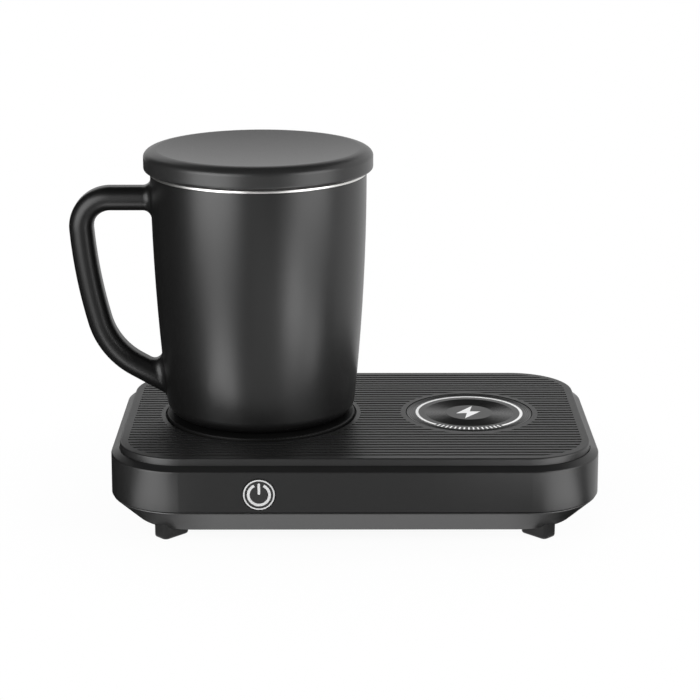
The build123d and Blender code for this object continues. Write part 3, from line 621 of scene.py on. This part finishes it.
def low_panel(name, power, width, length, place, turn):
    """A lamp on the floor that faces up, its length turned by an angle from the front."""
    body = lamp(name, power, width, length, (*place, panel_level))
    body.rotation_euler = (np.pi, 0, turn)
    body.visible_camera = False
    return body


# The focal length is in pixels of a frame this wide, and turned to millimetres for the lens.
frame_width, focal_pixels, sensor_width = 700, 2058.76, 36.0
camera_place = (0.00522, -0.83771, 0.30340)
camera_pitch, camera_turn = 0.27741, -0.00273
camera_data = bpy.data.cameras.new("camera")
camera_data.sensor_width = sensor_width
camera_data.lens = focal_pixels * sensor_width / frame_width
camera_data.clip_start, camera_data.clip_end = 0.05, 50
camera = bpy.data.objects.new("camera", camera_data)
camera.location = camera_place
camera.rotation_euler = (np.pi / 2 - camera_pitch, 0, camera_turn)
bpy.context.scene.collection.objects.link(camera)
bpy.context.scene.camera = camera

# The floor lies a hair under the feet, so that the two don't share a plane.
floor_level, floor_reach = -0.05 * MM, 6
glow_at_middle, full_glow_from = 0.9, 0.17
floor_paper = white_sheet("white_paper", glow_at_middle, full_glow_from)
floor_extent = (-floor_reach, floor_reach, -floor_reach, floor_reach, floor_level)
stage_plane("floor", lying(*floor_extent), floor_paper)

# Black cards on the left, on the right, behind the camera and overhead. The side cards and
# the top one end at different depths.
left, right, near, top = -0.62, 0.78, -1.3, 1.3
left_end, right_end, top_end = 0.9, 0.05, 0.35
cards = {
    "left_card": standing((left, near), (left, left_end), top),
    "right_card": standing((right, near), (right, right_end), top),
    "front_card": standing((left, near), (right, near), top),
    "top_card": lying(left, right, near, top_end, top),
}
card_black = black_card("black_card")
for name, corners in cards.items():
    stage_plane(name, corners, card_black).visible_camera = False

# Cards that only reflections see. Each has its extent in X, its extent in Y and its level;
# then its film's name, axis, clear end, black end and the most that it covers.
ceiling_back = 2.7
wings = {
    "left_wing": ((left, -0.04, near, left_end, 0.001), ("card_left", "X", -0.045, -0.085)),
    "right_wing": ((0.06, right, near, -0.03, 0.001), ("card_right", "X", 0.070, 0.100)),
    "front_film": ((left, right, -0.30, -0.076, 0.002), ("film_front", "Y", -0.30, -0.16, 0.3)),
    "ceiling": ((left, right, top_end, ceiling_back, top), ("card_ceiling", "Y", 2.7, 1.5)),
}
for name, (extent, film) in wings.items():
    sheet = stage_plane(name, lying(*extent), graded_card(*film))
    sheet.visible_camera = sheet.visible_shadow = sheet.visible_diffuse = False

# Lamps: power in watts, width and height, place and the point that they face. The two strips
# face the mug's axis at their own height, so they stand upright.
strip_aim = (-0.03, 0.004, 0.26)
aimed_lamp("left_strip", 4.4, 0.44, 0.5, (-0.375, -0.365, 0.26), strip_aim)
aimed_lamp("right_strip", 3.0, 0.38, 0.5, (0.42, -0.27, 0.26), strip_aim)
top_box = aimed_lamp("top_box", 2.8, 0.7, 0.5, (0.05, 0.25, 0.85), (0.02, 0, 0.03))
top_box.visible_glossy = False

# Low panels: power in watts, width, length, place on the floor and turn
panel_level = 0.003
low_panels = {
    "left_low_panel": (0.11, 0.11, 0.18, (-0.230, -0.208), -0.85),
    "right_low_panel": (0.44, 0.10, 0.18, (0.152, -0.2385), 0.62),
    "left_corner_panel": (0.125, 0.075, 0.11, (-0.127, -0.124), -0.62),
    "right_corner_panel": (0.125, 0.065, 0.12, (0.167, -0.113), 0.88),
}
for name, setting in low_panels.items():
    low_panel(name, *setting)

# The room is white where it is seen or mirrored, and dim where it lights.
room_light = 0.15
world = bpy.data.worlds.new("studio")
world.use_nodes = True
air = world.node_tree
air.nodes.clear()
dim = add(air, "ShaderNodeBackground", Color=white, Strength=room_light)
bright = add(air, "ShaderNodeBackground", Color=white, Strength=1.0)
room_links = {0: seen_directly(air), 1: dim.outputs[0], 2: bright.outputs[0]}
room = add(air, "ShaderNodeMixShader", room_links)
add(air, "ShaderNodeOutputWorld", {"Surface": room.outputs[0]})
bpy.context.scene.world = world
bpy.context.scene.view_settings.view_transform = "Standard"
